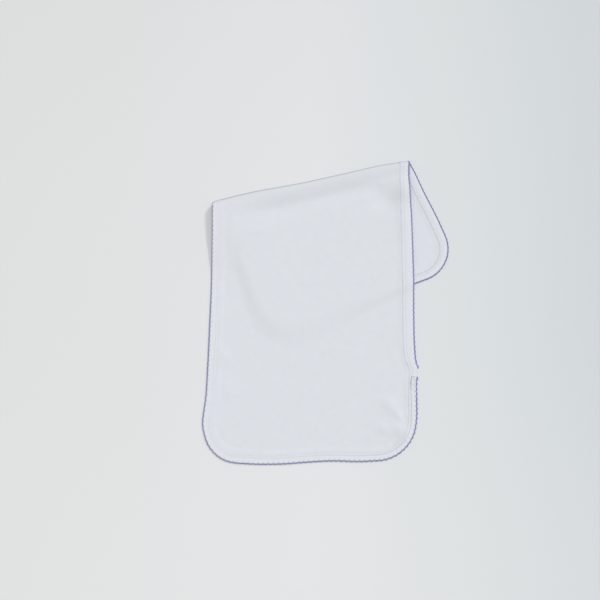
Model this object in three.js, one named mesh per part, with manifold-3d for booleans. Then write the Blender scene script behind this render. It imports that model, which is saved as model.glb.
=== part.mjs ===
import * as THREE from "three";
import Module from "manifold-3d";

// Burp cloth of white cotton knit, folded over once near its far end and laid flat.
// Millimetres, +Z up. u and v are places on the cloth opened out flat: u across it from the middle,
// v along it from the near end. x and y are places on the surface it lies on, z = 0.

// The cloth opened out, with its edging
const WIDTH = 250;
const LENGTH = 524;
const CORNER_RADIUS = 45;
const KNIT = 1.0; // thickness of the cloth itself
const GAP = 0.3; // clear space between two pieces

// Shell-stitched edging thread: depths are measured in from the outer edge
const EDGING = { inner: 2.0, valley: 0.9, pitch: 5.9, innerHalf: 0.5, outerHalf: 0.3 };

// White binding strip wrapped round the edge of the cloth
const BINDING = { outer: 2.3, inner: 10.8, wall: 0.5 };
const CLOTH_EDGE = BINDING.outer + BINDING.wall + GAP;
const BINDING_HALF = KNIT / 2 + GAP + BINDING.wall;
const BINDING_EASE = 0.2; // how far the strip's outer corners are eased in
const UNDER_BINDING = 11.2; // the cloth is level as far in as this, and then comes down
const LEVEL_OUT = 20; // to lie on the surface itself

// Join of the strip on the near right side: places along v
const JOIN = { lowerEnd: 92.6, upperEnd: 93.0, lapEnd: 100.5, edgingEnd: 109 };
const LAP = [
  { v: 86.0, low: 0.95, high: 1.25, outer: 2.6, inner: 10.5 },
  { v: 90.5, low: 1.0, high: 1.8, outer: 2.6, inner: 10.5 },
  { v: 92.5, low: 1.62, high: 2.12, outer: 2.2, inner: 10.9 },
  { v: 100.5, low: 1.62, high: 2.12, outer: 2.2, inner: 10.9 },
];

// The fold: a straight line across the cloth, turned a little, and a soft bend that is higher on the left
const FOLD_TURN = THREE.MathUtils.degToRad(11.8);
const FOLD_DISTANCE = 339.9;
const BEND_RADIUS = { middle: 3.5, slope: -0.0056, at: 71 };
const BEND_REACH = { left: 88, right: 42, from: -60, to: 200 }; // how far the front stays lifted
const SWELL_START = 30; // swells rise from nothing at the bend to their full height this far off
const FOLD_SHIFT_REACH = 70;
const FOLD_SHIFT = [
  { w: -63, shift: -4.6 },
  { w: -53, shift: -2.6 },
  { w: -42, shift: -1.8 },
  { w: -5, shift: -0.7 },
  { w: 40, shift: 0.0 },
  { w: 110, shift: 0.7 },
  { w: 152, shift: 1.5 },
  { w: 188, shift: 0.5 },
  { w: 204, shift: -1.2 },
];

// The front layer where it climbs over the hidden edge of the back layer
const STEP = { start: -17, over: -1, height: 3.4, inside: 12, settled: 36, resting: 1.7 };

// Small waves of the edges, as shifts of the cloth in its own plane
const LEFT_WAVE = [
  { v: 0, shift: -2.6 },
  { v: 20, shift: -2.4 },
  { v: 33, shift: -2.2 },
  { v: 47, shift: -3.0 },
  { v: 60, shift: -1.9 },
  { v: 76, shift: -0.1 },
  { v: 103, shift: 0.6 },
  { v: 135, shift: 1.2 },
  { v: 190, shift: 1.7 },
  { v: 222, shift: 1.6 },
  { v: 255, shift: 1.1 },
  { v: 290, shift: 0.7 },
  { v: 320, shift: 0.3 },
  { v: 380, shift: 0.0 },
];
const RIGHT_WAVE = [
  { v: 0, shift: -2.4 },
  { v: 15, shift: -2.4 },
  { v: 27, shift: -1.9 },
  { v: 40, shift: -1.2 },
  { v: 53, shift: 0.2 },
  { v: 72, shift: 0.6 },
  { v: 90, shift: 0.7 },
  { v: 105, shift: 1.5 },
  { v: 118, shift: 0.5 },
  { v: 145, shift: -0.3 },
  { v: 175, shift: 0.0 },
  { v: 211, shift: 1.0 },
  { v: 300, shift: 0.4 },
  { v: 325, shift: -0.8 },
  { v: 350, shift: -1.9 },
  { v: 372, shift: -1.2 },
  { v: 389, shift: -0.1 },
  { v: 415, shift: -0.6 },
  { v: 455, shift: 0.5 },
  { v: 490, shift: -0.4 },
  { v: 524, shift: 0.0 },
];
const NEAR_WAVE = [
  { u: -125, shift: -2.5 },
  { u: -99, shift: -2.1 },
  { u: -85, shift: -1.5 },
  { u: -60, shift: -2.5 },
  { u: -29, shift: -1.9 },
  { u: 0, shift: 0.4 },
  { u: 27, shift: 1.9 },
  { u: 60, shift: 1.5 },
  { u: 83, shift: 2.6 },
  { u: 105, shift: 2.9 },
  { u: 125, shift: 2.4 },
];
const NEAR_WAVE_REACH = 90;

// Low swells of the front layer: size across and along in mm, turned by an angle in degrees
const SWELLS = [
  { x: 40, y: 296, across: 62, along: 11, turn: 12, rise: 0.9 },
  { x: -52, y: 278, across: 20, along: 24, turn: 20, rise: 0.8 },
  { x: -98, y: 286, across: 5, along: 20, turn: -6, rise: 0.5 },
  { x: 100, y: 60, across: 6, along: 16, turn: 24, rise: 0.6 },
  { x: 84, y: 38, across: 14, along: 5, turn: 30, rise: 0.4 },
];

// Rows of points across the cloth and columns along it
const CORNER_ROWS = 8;
const FRONT_ROWS = 19;
const BACK_ROWS = 7;
const BEND_ROWS = 12;
const COLUMNS = 20;
const BEFORE_BEND = [84, 72, 61, 51, 42, 33, 25, 18, 12, 7, 3];
const AFTER_BEND = [3, 8, 16, 28, 42];
const CLOSE_SHELLS = 10; // within this distance of the fold line the edging has twice as many sections

const half = WIDTH / 2;
const cosTurn = Math.cos(FOLD_TURN);
const sinTurn = Math.sin(FOLD_TURN);
const { clamp, lerp } = THREE.MathUtils;

const ease = (t) => (1 - Math.cos(Math.PI * clamp(t, 0, 1))) / 2;
const bendRadius = (w) => BEND_RADIUS.middle + BEND_RADIUS.slope * (w - BEND_RADIUS.at);

// Smooth curve through the entries of a short table
function follow(table, key, at) {
  const last = table.length - 1;
  const x = clamp(at, table[0][key], table[last][key]);
  let i = 0;
  while (i < last - 1 && table[i + 1][key] < x) i += 1;
  const slope = (k) => {
    const before = table[Math.max(k - 1, 0)];
    const after = table[Math.min(k + 1, last)];
    return (after.shift - before.shift) / (after[key] - before[key]);
  };
  const span = table[i + 1][key] - table[i][key];
  const t = (x - table[i][key]) / span;
  const [a, b] = [table[i].shift, table[i + 1].shift];
  const [p, q] = [slope(i) * span, slope(i + 1) * span];
  return a + t * (p + t * (3 * (b - a) - 2 * p - q + t * (2 * (a - b) + p + q)));
}

// Depth of a place inside the rounded outline of the flat cloth; negative outside
function depthInside(u, v) {
  const a = Math.abs(u) - (half - CORNER_RADIUS);
  const b = Math.abs(v - LENGTH / 2) - (LENGTH / 2 - CORNER_RADIUS);
  const outside = Math.hypot(Math.max(a, 0), Math.max(b, 0));
  return CORNER_RADIUS - outside - Math.min(Math.max(a, b), 0);
}

// Height of the front layer over the hidden part of the back layer
function climb(w, q) {
  const mirrored = 2 * FOLD_DISTANCE - q;
  const depth = depthInside(w * cosTurn - mirrored * sinTurn, w * sinTurn + mirrored * cosTurn);
  const up = ease((depth - STEP.start) / (STEP.over - STEP.start));
  const down = ease((depth - STEP.inside) / (STEP.settled - STEP.inside));
  return STEP.height * up - (STEP.height - STEP.resting) * down;
}

function swell(x, y) {
  return SWELLS.reduce((sum, s) => {
    const turn = THREE.MathUtils.degToRad(s.turn);
    const a = ((x - s.x) * Math.cos(turn) + (y - s.y) * Math.sin(turn)) / s.across;
    const b = ((y - s.y) * Math.cos(turn) - (x - s.x) * Math.sin(turn)) / s.along;
    return sum + s.rise * Math.exp(-a * a - b * b);
  }, 0);
}

// Middle of the cloth's thickness at a place of the flat cloth, once folded and laid down
function layDown(u, v) {
  const side = (u + half) / WIDTH;
  const us = u + lerp(follow(LEFT_WAVE, "v", v), follow(RIGHT_WAVE, "v", v), side);
  const vs = v + follow(NEAR_WAVE, "u", u) * (1 - ease(v / NEAR_WAVE_REACH));
  const w = us * cosTurn + vs * sinTurn;
  const flatQ = vs * cosTurn - us * sinTurn;
  const d = flatQ - FOLD_DISTANCE;
  const radius = bendRadius(w);
  const quarter = (Math.PI * radius) / 2;
  const atEdge = 1 - ease((depthInside(u, v) - UNDER_BINDING) / (LEVEL_OUT - UNDER_BINDING));
  const rest = KNIT / 2 + (BINDING_HALF - KNIT / 2) * atEdge;
  let q, z;
  if (d < -quarter) {
    const across = clamp((w - BEND_REACH.from) / (BEND_REACH.to - BEND_REACH.from), 0, 1);
    const lifted = 1 - ease((-d - quarter) / lerp(BEND_REACH.left, BEND_REACH.right, across));
    q = flatQ;
    z = rest + lerp(climb(w, q), 2 * radius, lifted);
  } else if (d < quarter) {
    const angle = (d + quarter) / radius;
    q = FOLD_DISTANCE - quarter + radius * Math.sin(angle);
    z = rest + radius * (1 + Math.cos(angle));
  } else {
    q = 2 * FOLD_DISTANCE - flatQ;
    z = rest;
  }
  q += follow(FOLD_SHIFT, "w", w) * Math.exp(-((d / FOLD_SHIFT_REACH) ** 2));
  const x = w * cosTurn - q * sinTurn;
  const y = w * sinTurn + q * cosTurn;
  return new THREE.Vector3(x, y, d < 0 ? z + swell(x, y) * ease(-d / SWELL_START) : z);
}

// A place at a height above the middle of the cloth, along the cloth's own normal
function place(u, v, height) {
  const step = 0.05; // half the distance between the places that give the slopes
  const du = layDown(u + step, v).sub(layDown(u - step, v));
  const dv = layDown(u, v + step).sub(layDown(u, v - step));
  return layDown(u, v).addScaledVector(du.cross(dv).normalize(), height);
}

// Rows are straight lines v = start + slope * u on the flat cloth, side by side with the fold near it
function foldRow(base, perW) {
  const under = cosTurn - perW * sinTurn;
  return { start: (FOLD_DISTANCE + base) / under, slope: (sinTurn + perW * cosTurn) / under };
}

function bendRow(angle, extra) {
  const turned = angle - Math.PI / 2;
  const atZero = bendRadius(0) * turned + extra;
  return foldRow(atZero, BEND_RADIUS.slope * turned);
}

function rowsBetween(first, last, count) {
  return Array.from({ length: count - 1 }, (_, i) => ({
    start: lerp(first.start, last.start, (i + 1) / count),
    slope: lerp(first.slope, last.slope, (i + 1) / count),
  }));
}

const sideStart = { start: CORNER_RADIUS, slope: 0 };
const sideEnd = { start: LENGTH - CORNER_RADIUS, slope: 0 };
const foldRows = [
  ...BEFORE_BEND.map((a) => bendRow(0, -a)),
  ...Array.from({ length: BEND_ROWS + 1 }, (_, i) => bendRow((Math.PI * i) / BEND_ROWS, 0)),
  ...AFTER_BEND.map((a) => bendRow(Math.PI, a)),
];
const sideRows = [
  sideStart,
  ...rowsBetween(sideStart, foldRows[0], FRONT_ROWS),
  ...foldRows,
  ...rowsBetween(foldRows[foldRows.length - 1], sideEnd, BACK_ROWS),
  sideEnd,
];

// A station is a line in from the outline, given as a flat place for each depth
const sideStation = (side, row) => (depth) => {
  const u = side * (half - depth);
  return [u, row.start + row.slope * u];
};
const cornerStation = (side, end, turn) => (depth) => {
  const reach = CORNER_RADIUS - depth;
  const u = side * (half - CORNER_RADIUS + reach * Math.sin(turn));
  const v = CORNER_RADIUS - reach * Math.cos(turn);
  return [u, end ? LENGTH - v : v];
};
const endStation = (column, end) => (depth) => [
  lerp(-1, 1, column / COLUMNS) * (half - CORNER_RADIUS),
  end ? LENGTH - depth : depth,
];
const cornerTurns = Array.from({ length: CORNER_ROWS }, (_, i) => (i * Math.PI) / 2 / CORNER_ROWS);
const sideStations = (side) => [
  ...cornerTurns.map((turn) => cornerStation(side, false, turn)),
  ...sideRows.map((row) => sideStation(side, row)),
  ...cornerTurns.map((turn) => cornerStation(side, true, turn)).reverse(),
];
const leftStations = sideStations(-1);
const rightStations = sideStations(1);
const lastRow = leftStations.length - 1;

// The stations all round, from the near left corner along the near end and up the right side
const columns = Array.from({ length: COLUMNS - 1 }, (_, i) => i + 1);
const around = [
  leftStations[0],
  ...columns.map((c) => endStation(c, false)),
  ...rightStations,
  ...columns.map((c) => endStation(c, true)).reverse(),
  ...leftStations.slice(1).reverse(),
];

function geometryOf(points, faces) {
  const geometry = new THREE.BufferGeometry().setFromPoints(points);
  geometry.setIndex(faces);
  geometry.computeVertexNormals();
  return geometry;
}

// The cloth: rings round the edge and rows across the middle, as a front and a back skin with a rim
function clothGeometry() {
  const flat = [];
  const faces = [];
  const quad = (a, b, c, d) => faces.push(a, b, c, a, c, d);
  const rings = [CLOTH_EDGE, UNDER_BINDING, LEVEL_OUT];
  rings.forEach((depth) => around.forEach((station) => flat.push(station(depth))));
  const n = around.length;
  for (let ring = 0; ring < rings.length - 1; ring += 1)
    for (let i = 0; i < n; i += 1) {
      const next = (i + 1) % n;
      quad(ring * n + i, ring * n + next, (ring + 1) * n + next, (ring + 1) * n + i);
    }
  const ringStart = (rings.length - 1) * n;
  const rightStart = COLUMNS;
  const topStart = rightStart + lastRow;
  const leftStart = topStart + COLUMNS;
  const grid = [];
  for (let row = 0; row <= lastRow; row += 1) {
    grid.push([]);
    for (let column = 0; column <= COLUMNS; column += 1) {
      if (row === 0) grid[row].push(ringStart + column);
      else if (column === COLUMNS) grid[row].push(ringStart + rightStart + row);
      else if (row === lastRow) grid[row].push(ringStart + topStart + COLUMNS - column);
      else if (column === 0) grid[row].push(ringStart + leftStart + lastRow - row);
      else {
        const [ul, vl] = leftStations[row](LEVEL_OUT);
        const [ur, vr] = rightStations[row](LEVEL_OUT);
        grid[row].push(flat.length);
        flat.push([lerp(ul, ur, column / COLUMNS), lerp(vl, vr, column / COLUMNS)]);
      }
    }
  }
  for (let row = 0; row < lastRow; row += 1)
    for (let column = 0; column < COLUMNS; column += 1)
      quad(grid[row][column], grid[row][column + 1], grid[row + 1][column + 1], grid[row + 1][column]);
  const points = [KNIT / 2, -KNIT / 2].flatMap((height) => flat.map(([u, v]) => place(u, v, height)));
  const under = flat.length;
  const skin = faces.slice();
  for (let i = 0; i < skin.length; i += 3)
    faces.push(skin[i] + under, skin[i + 2] + under, skin[i + 1] + under);
  for (let i = 0; i < n; i += 1) {
    const next = (i + 1) % n;
    faces.push(i, i + under, next + under, i, next + under, next);
  }
  return geometryOf(points, faces);
}

// A strip whose profile, a list of depths and heights, is carried along a list of stations. Its faces
// are split the same way as those of the cloth, so that the two stay the same distance apart.
function stripGeometry(stations, profileAt) {
  const points = [];
  const faces = [];
  const profiles = stations.map((station, i) => profileAt(i));
  const n = profiles[0].length;
  stations.forEach((station, i) =>
    profiles[i].forEach(([depth, height]) => points.push(place(...station(depth), height))),
  );
  for (let i = 0; i < stations.length - 1; i += 1)
    for (let j = 0; j < n; j += 1) {
      const a = i * n + j;
      const b = i * n + ((j + 1) % n);
      const inwards = profiles[i][j][0] < profiles[i][(j + 1) % n][0];
      if (inwards) faces.push(a, b, b + n, a, b + n, a + n);
      else faces.push(a, b, a + n, b, b + n, a + n);
    }
  const cap = THREE.ShapeUtils.triangulateShape(
    profiles[0].map(([depth, height]) => new THREE.Vector2(depth, height)),
    [],
  );
  const last = (stations.length - 1) * n;
  cap.forEach(([a, b, c]) => faces.push(a, c, b, last + a, last + b, last + c));
  return geometryOf(points, faces);
}

// A level station across the near right side
const rightStation = (v) => sideStation(1, { start: v, slope: 0 });

// The stations from the upper end of the binding strip, once round, to its lower end
function bindingStations() {
  const heightOf = (station) => station(0)[1];
  const above = around.findIndex((s, i) => i > COLUMNS && heightOf(s) > JOIN.upperEnd);
  const below = above - (heightOf(around[above - 1]) > JOIN.lowerEnd - 1 ? 1 : 0);
  return [
    rightStation(JOIN.upperEnd),
    ...around.slice(above),
    ...around.slice(0, below),
    rightStation(JOIN.lowerEnd),
  ];
}

const wallInside = KNIT / 2 + GAP;
const BINDING_PROFILE = [
  [BINDING.outer, -wallInside],
  [BINDING.outer + BINDING_EASE, -BINDING_HALF],
  [BINDING.inner, -BINDING_HALF],
  [BINDING.inner, -wallInside],
  [BINDING.outer + BINDING.wall, -wallInside],
  [BINDING.outer + BINDING.wall, wallInside],
  [BINDING.inner, wallInside],
  [BINDING.inner, BINDING_HALF],
  [BINDING.outer + BINDING_EASE, BINDING_HALF],
  [BINDING.outer, wallInside],
];

function meshSolid(wasm, geometry) {
  const made = new wasm.Mesh({
    numProp: 3,
    vertProperties: geometry.getAttribute("position").array,
    triVerts: new Uint32Array(geometry.index.array),
  });
  return new wasm.Manifold(made);
}

// The binding strip with the lap of its lower end over its upper end
function bindingGeometry(wasm) {
  const strip = stripGeometry(bindingStations(), () => BINDING_PROFILE);
  const lap = stripGeometry(
    LAP.map(({ v }) => rightStation(v)),
    (i) => {
      const { low, high, outer, inner } = LAP[i];
      return [
        [outer, low],
        [inner, low],
        [inner, high],
        [outer, high],
      ];
    },
  );
  const joined = meshSolid(wasm, strip).add(meshSolid(wasm, lap)).getMesh();
  const points = Array.from({ length: joined.numVert }, (_, i) =>
    new THREE.Vector3().fromArray(joined.vertProperties, i * joined.numProp),
  );
  return geometryOf(points, Array.from(joined.triVerts));
}

// Flat place at a distance along the outline, counted from the start of the right side upwards
function outlineStation(distance) {
  const side = LENGTH - 2 * CORNER_RADIUS;
  const end = WIDTH - 2 * CORNER_RADIUS;
  const arc = (Math.PI / 2) * CORNER_RADIUS;
  const halfRound = side + arc + end + arc;
  const turned = distance % (2 * halfRound) >= halfRound;
  const s = distance % halfRound;
  const mirror = ([u, v]) => (turned ? [-u, LENGTH - v] : [u, v]);
  if (s < side) return (depth) => mirror([half - depth, CORNER_RADIUS + s]);
  if (s < side + arc) {
    const turn = Math.PI / 2 - (s - side) / CORNER_RADIUS;
    return (depth) => mirror(cornerStation(1, true, turn)(depth));
  }
  if (s < side + arc + end)
    return (depth) => mirror([half - CORNER_RADIUS - (s - side - arc), LENGTH - depth]);
  const turn = (s - side - arc - end) / CORNER_RADIUS;
  return (depth) => mirror(cornerStation(-1, true, turn)(depth));
}

// The edging: shells stitched side by side, two sections a shell and more of them round the bend
function edgingGeometry() {
  const round = 2 * (LENGTH + WIDTH - 4 * CORNER_RADIUS) + 2 * Math.PI * CORNER_RADIUS;
  const first = JOIN.edgingEnd - CORNER_RADIUS;
  const length = round - (JOIN.edgingEnd - JOIN.lapEnd);
  const shells = Math.round(length / EDGING.pitch);
  const steps = [];
  for (let i = 0; i < shells * 2; i += 1) {
    const at = first + (length * i) / shells / 2;
    const [u, v] = outlineStation(at)(0);
    const bending = Math.abs(v * cosTurn - u * sinTurn - FOLD_DISTANCE) < CLOSE_SHELLS;
    steps.push(i / 2, ...(bending ? [i / 2 + 0.25] : []));
  }
  steps.push(shells);
  return stripGeometry(
    steps.map((step) => outlineStation(first + (length * step) / shells)),
    (i) => {
      const bulge = Math.abs(Math.sin(Math.PI * steps[i]));
      const outer = EDGING.valley * (1 - bulge);
      return [
        [outer, -EDGING.outerHalf],
        [EDGING.inner, -EDGING.innerHalf],
        [EDGING.inner, EDGING.innerHalf],
        [outer, EDGING.outerHalf],
      ];
    },
  );
}

function named(name, geometry, settings) {
  const mesh = new THREE.Mesh(geometry, new THREE.MeshStandardMaterial(settings));
  mesh.name = name;
  return mesh;
}

const wasm = await Module();
wasm.setup();

const burpCloth = new THREE.Group();
burpCloth.name = "burp_cloth";
burpCloth.add(
  named("cloth_panel", clothGeometry(), { color: 0xe9ecf3, roughness: 0.95, metalness: 0 }),
  named("edge_binding", bindingGeometry(wasm), { color: 0xeceff6, roughness: 0.9, metalness: 0 }),
  named("picot_edging", edgingGeometry(), { color: 0x8f84bd, roughness: 0.7, metalness: 0 }),
);

// The middle of the cloth as laid is the part's origin
const box = new THREE.Box3().setFromObject(burpCloth, true);
const middle = box.getCenter(new THREE.Vector3());
burpCloth.position.set(-middle.x, -middle.y, 0);

export default burpCloth;
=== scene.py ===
"""A white burp cloth of cotton interlock knit, folded over once and laid flat on a pale floor.

Its edge is bound with a knit strip and finished with lavender shell stitches. Lengths are millimetres
while a shape is worked out, and become metres as its mesh is made. u and v are places on the cloth
opened out flat: u across it from the middle, v along it from the near end. Depth is measured in from
the outer edge of the edging, and height from the middle of the cloth's thickness.
"""

import logging
import math
from dataclasses import dataclass
from enum import Enum
from typing import NamedTuple

import bpy
import numpy as np
from bpy.types import Material, NodeSocket, NodeTree, Object
from mathutils import Euler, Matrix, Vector


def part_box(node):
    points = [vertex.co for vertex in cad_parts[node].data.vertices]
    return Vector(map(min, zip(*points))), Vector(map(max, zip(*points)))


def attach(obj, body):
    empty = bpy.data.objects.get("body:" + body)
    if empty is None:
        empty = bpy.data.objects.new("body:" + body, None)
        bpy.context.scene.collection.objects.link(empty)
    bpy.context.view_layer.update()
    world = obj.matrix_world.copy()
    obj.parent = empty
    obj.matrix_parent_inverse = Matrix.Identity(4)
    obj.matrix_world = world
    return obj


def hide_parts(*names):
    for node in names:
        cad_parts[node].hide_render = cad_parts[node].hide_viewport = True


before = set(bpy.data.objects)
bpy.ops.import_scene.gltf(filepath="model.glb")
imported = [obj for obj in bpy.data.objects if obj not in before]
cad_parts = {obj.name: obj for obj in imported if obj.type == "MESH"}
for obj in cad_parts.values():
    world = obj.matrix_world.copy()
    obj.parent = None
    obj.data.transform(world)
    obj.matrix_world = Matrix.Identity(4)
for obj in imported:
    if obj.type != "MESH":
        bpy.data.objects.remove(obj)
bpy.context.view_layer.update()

METRES = 0.001
TINY = 1e-6
LOG = logging.getLogger("burp_cloth")
Array = np.ndarray
Table = tuple[tuple[float, float], ...]
Waves = tuple[tuple[float, float, float], ...]
Colour = tuple[float, float, float]


class Swell(NamedTuple):
    """A soft hill or hollow of the front layer: its size across and along, turn in degrees, and rise."""

    x: float
    y: float
    across: float
    along: float
    turn: float
    rise: float


class Side(Enum):
    """The two faces of the cloth, as the sign of the height."""

    FRONT = 1
    REVERSE = -1


# How the real cloth lies. Each pair is a place and the value there. The waves of the sides and ends and the
# shift of the fold were picked and rounded from measured traces of the photograph's outline, then corrected.
# The other values were set in steps, beside measures of the photograph and of renders.

# These go by the distance round the outline, from the near end of the right side.
# How far further in the strip and its outer row of stitches lie
ROW_SHIFT: Table = (
    (-45, -0.2), (48, -0.2), (60, 0.0), (71, 1.2), (84, 2.6), (240, 2.6), (300, 0.6), (340, 0.5),
    (400, 0.6), (440, 0.0), (470, -0.5), (600, -0.5), (700, 0.3), (950, 0.8), (1150, 0.5), (1250, 0.1),
    (1426, -0.2),
)
# How deeply the rows of stitches draw the strip in
ROW_STRENGTH: Table = (
    (-45, 1.4), (25, 1.4), (55, 1.0), (90, 0.55), (240, 0.55), (360, 0.9), (600, 0.8), (800, 0.5),
    (1150, 0.4), (1250, 0.6), (1330, 0.8), (1426, 1.4),
)
# How much wider apart the two rows lie
ROW_GAP: Table = (
    (-45, -0.5), (20, -1.0), (46, -1.0), (75, 0.0), (1180, 0.0), (1240, -0.8), (1300, -0.5), (1350, 0.2),
    (1395, 0.0), (1426, -0.5),
)
# How much deeper the outer row is than the mean of both
ROW_LEAN: Table = (
    (-45, 0.5), (30, 0.6), (70, 0.0), (300, 0.0), (350, -0.4), (600, -0.3), (700, 0.0), (1360, 0.0),
    (1426, 0.5),
)
# How dark the painted shade line in the knit beside the strip is
SEAM_SHADE_LINE: Table = (
    (-45, 0.2), (20, 1.0), (60, 0.3), (90, 0.5), (290, 0.5), (330, 0.2), (600, 0.0), (1300, 0.0),
    (1426, 0.2),
)
# How thick the edging's thread stands on the rim
THREAD_FULLNESS: Table = (
    (-45, 0.87), (20, 1.4), (150, 1.28), (270, 1.02), (296, 1.35), (322, 1.5), (345, 1.2), (434, 1.35),
    (480, 1.1), (515, 0.75), (560, 0.72), (720, 0.72), (880, 0.42), (985, 0.44), (1060, 0.8),
    (1180, 0.56), (1240, 0.62), (1300, 0.72), (1426, 0.83),
)
# How far the thread's colour is painted darker as shade, towards its shade colour
THREAD_SHADE: Table = ((-45, 0.0), (280, 0.0), (340, 0.2), (450, 0.2), (500, 0.0), (1426, 0.0))
# How far the rim swings in between two shells
RIM_SWING: Table = (
    (-45, 1.1), (0, 0.85), (60, 0.9), (110, 0.5), (434, 0.45), (600, 0.35), (1150, 0.35), (1300, 0.55),
    (1360, 1.1), (1426, 1.1),
)
# How far in the thread at the end of a shell reaches
BITE_LENGTH: Table = (
    (-45, 3.1), (60, 3.0), (90, 2.3), (434, 2.2), (520, 2.1), (600, 2.6), (800, 2.8), (1130, 2.9),
    (1190, 2.5), (1230, 2.6), (1280, 3.0), (1426, 3.1),
)

# How far the left and the right side are shifted to the right, by v
LEFT_WAVE: Table = (
    (0, -2.6), (20, -2.4), (33, -2.2), (47, -3.0), (60, -1.9), (76, -0.1), (103, 0.6), (135, 1.2),
    (190, 1.6), (222, 1.4), (255, 0.8), (290, 0.2), (320, -0.2), (380, -0.2),
)
RIGHT_WAVE: Table = (
    (0, -2.4), (15, -2.4), (27, -1.9), (40, -1.2), (53, 0.2), (72, 0.6), (90, 0.8), (98, 1.4), (102, 2.5),
    (106, 3.5), (110, 3.7), (114, 2.4), (119, 1.0), (125, 0.4), (145, -0.3), (175, 0.0), (211, 0.7),
    (300, 0.4), (325, -0.8), (350, -1.9), (372, -1.2), (389, -0.1), (415, -0.6), (455, 0.0), (490, -0.9),
    (524, -0.3),
)
# How far the near and the far end are shifted along the cloth, by u
NEAR_WAVE: Table = (
    (-125, -2.5), (-99, -2.1), (-85, -1.5), (-60, -2.5), (-29, -1.9), (0, 0.4), (27, 1.9), (60, 1.5),
    (83, 2.6), (105, 2.9), (125, 2.4),
)
FAR_WAVE: Table = (
    (-125, 0.0), (-80, 0.0), (-40, -2.6), (0, -7.5), (28, -8.0), (52, -4.8), (64, -3.7), (88, -2.6),
    (110, -2.2), (125, -1.4),
)

# These go by the place along the fold, from its left end.
# How far out the fold lies from a straight line
FOLD_SHIFT: Table = (
    (-63, -6.6), (-57, -4.0), (-50, -2.4), (-42, -1.7), (-28, -0.6), (-6, 0.2), (14, 0.2), (40, -0.1),
    (60, -0.2), (110, 1.2), (152, 2.8), (180, 2.4), (192, 1.3), (204, 0.2),
)
# The share of the front layer's fall that lies close to the fold, and how far each part of it reaches
NEAR_FALL: Table = (
    (-63, 0.05), (-35, 0.2), (0, 0.45), (40, 0.75), (80, 1.0), (120, 1.0), (150, 0.75), (204, 0.6),
)
NEAR_REACH: Table = ((-63, 23), (80, 23), (125, 20), (204, 18))
FAR_REACH: Table = ((-63, 100), (0, 80), (80, 60), (150, 45), (204, 44))

# These go by u + v of the hidden edge of the back layer: how far outside it the middle of the step lies
# in the front layer, and half the step's width
STEP_OUT: Table = (
    (200, 2.0), (254, 2.0), (293, 3.5), (341, 5.5), (385, 3.5), (435, 0.5), (474, 0.0), (504, -1.0),
    (560, -1.5), (610, 0.0), (649, 1.5),
)
STEP_HALF: Table = (
    (225, 45.0), (254, 28.0), (285, 11.0), (341, 12.0), (385, 14.0), (435, 17.0), (480, 15.0),
    (520, 9.0), (649, 6.5),
)

# Hollows behind the fold and hills beside them, wrinkles at the near right corner, low hills on the left
SWELLS = (
    Swell(x=58, y=332, across=62, along=9, turn=12, rise=-1.0),
    Swell(x=-45, y=306, across=34, along=13, turn=14, rise=-1.7),
    Swell(x=-98, y=286, across=5, along=20, turn=-6, rise=0.4),
    Swell(x=88, y=343, across=7, along=7, turn=0, rise=0.6),
    Swell(x=93, y=321, across=16, along=14, turn=0, rise=-2.1),
    Swell(x=116, y=337, across=18, along=17, turn=8, rise=4.1),
    Swell(x=115, y=296, across=10, along=28, turn=0, rise=1.0),
    Swell(x=95, y=66, across=10, along=8, turn=-45, rise=1.7),
    Swell(x=104, y=54, across=7, along=4, turn=-50, rise=1.4),
    Swell(x=86, y=39, across=9, along=6, turn=-25, rise=1.1),
    Swell(x=110, y=34, across=18, along=9, turn=-45, rise=2.5),
    Swell(x=-104, y=122, across=8, along=9, turn=0, rise=0.8),
    Swell(x=-98, y=82, across=8, along=9, turn=0, rise=0.8),
)


def ease(share: Array) -> Array:
    """Half a cosine wave: 0 up to share 0, 1 from share 1 on, and level at both.

    Args:
        share: Any numbers.

    Returns:
        The eased numbers.
    """
    return (1 - np.cos(np.pi * np.clip(share, 0, 1))) / 2


def bell(away: Array) -> Array:
    """Bell curve: 1 where the number is 0, and down to about a third where it is 1.

    Args:
        away: Distances, in widths of the bell.

    Returns:
        The height of the bell at each.
    """
    return np.exp(-(away**2))


def power_of(value: Array, power: float) -> Array:
    """A power of the size of each number, with the number's sign.

    Args:
        value: Any numbers.
        power: The power; below 1 it squares a circle's corners.

    Returns:
        The numbers, signed as before.
    """
    return np.sign(value) * np.abs(value) ** power


def follow(table: Table, at: Array) -> Array:
    """Cubic curve through a table's entries, its slope at each entry taken from the two beside it.

    Args:
        table: The entries, in rising order of place.
        at: The places asked for.

    Returns:
        The value at each place.
    """
    x, y = np.array(table).T
    slope = np.gradient(y, x)
    slope[1:-1] = (y[2:] - y[:-2]) / (x[2:] - x[:-2])
    inside = np.clip(at, x[0], x[-1])
    i = np.clip(np.searchsorted(x, inside, side="right") - 1, 0, len(x) - 2)
    span = x[i + 1] - x[i]
    t = (inside - x[i]) / span
    rise = y[i + 1] - y[i]
    start, end = slope[i] * span, slope[i + 1] * span
    return y[i] + t * (start + t * (3 * rise - 2 * start - end + t * (start + end - 2 * rise)))


def ripple(at: Array, waves: Waves) -> Array:
    """Sum of sine waves, each given as its length, phase and size.

    Args:
        at: Places along a line.
        waves: Length in millimetres, phase in radians and size of each wave.

    Returns:
        The height of the sum at each place.
    """
    return sum(size * np.sin(2 * np.pi * at / length + phase) for length, phase, size in waves)


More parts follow.
